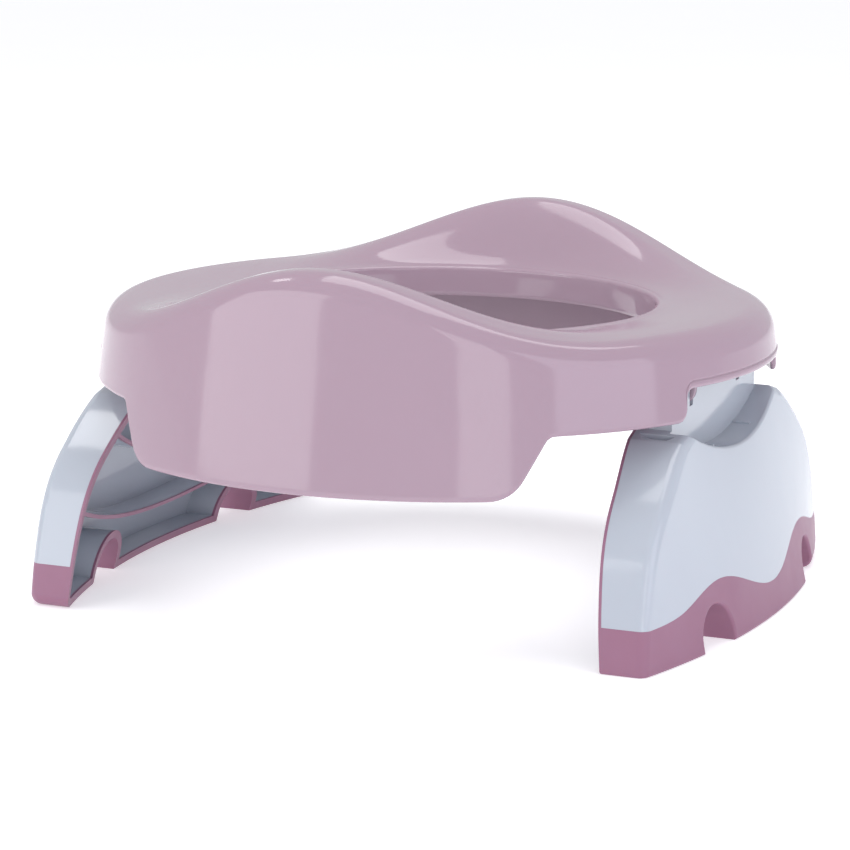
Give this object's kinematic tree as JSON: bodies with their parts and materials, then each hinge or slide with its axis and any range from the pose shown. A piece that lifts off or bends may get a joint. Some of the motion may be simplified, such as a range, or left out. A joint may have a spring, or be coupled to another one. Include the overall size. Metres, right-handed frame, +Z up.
{
  "type": "potty training chair",
  "caption": "Fold-leg travel potty: round seat with front and rear humps over an open centre, on two curved swing-out legs with soft grip feet.",
  "frame": {"origin": "on the floor under the middle of the seat opening", "axes": "+Z up, +X towards the right leg, +Y towards the rear hump"},
  "size_m": [0.3246, 0.3, 0.1594],
  "materials": {
    "seat_pink": "glossy moulded polypropylene",
    "leg_white": "glossy moulded polypropylene",
    "grip_pink": "satin thermoplastic rubber",
    "plug_white": "glossy moulded polypropylene",
    "pin_steel": "bright steel",
    "spring_steel": "rolled spring steel",
    "screw_steel": "zinc plated steel"
  },
  "bodies": {
    "seat": {"seat_shell": "seat_pink", "right_detent_spring": "spring_steel", "right_detent_screw": "screw_steel", "left_detent_spring": "spring_steel", "left_detent_screw": "screw_steel"},
    "right_leg": {"right_leg_shell": "leg_white", "right_leg_grip": "grip_pink", "right_front_hinge_pin": "pin_steel", "right_front_hinge_plug": "plug_white", "right_rear_hinge_pin": "pin_steel", "right_rear_hinge_plug": "plug_white"},
    "left_leg": {"left_leg_shell": "leg_white", "left_leg_grip": "grip_pink", "left_front_hinge_pin": "pin_steel", "left_front_hinge_plug": "plug_white", "left_rear_hinge_pin": "pin_steel", "left_rear_hinge_plug": "plug_white"}
  },
  "joints": [
    {"name": "right_leg_fold", "type": "hinge", "parent": "seat", "child": "right_leg", "pos_m": [0.126, 0, 0.102], "axis": [0, -1, 0], "range_deg": [-90, 80]},
    {"name": "left_leg_fold", "type": "hinge", "parent": "seat", "child": "left_leg", "pos_m": [-0.126, 0, 0.102], "axis": [0, 1, 0], "range_deg": [-90, 80]}
  ]
}
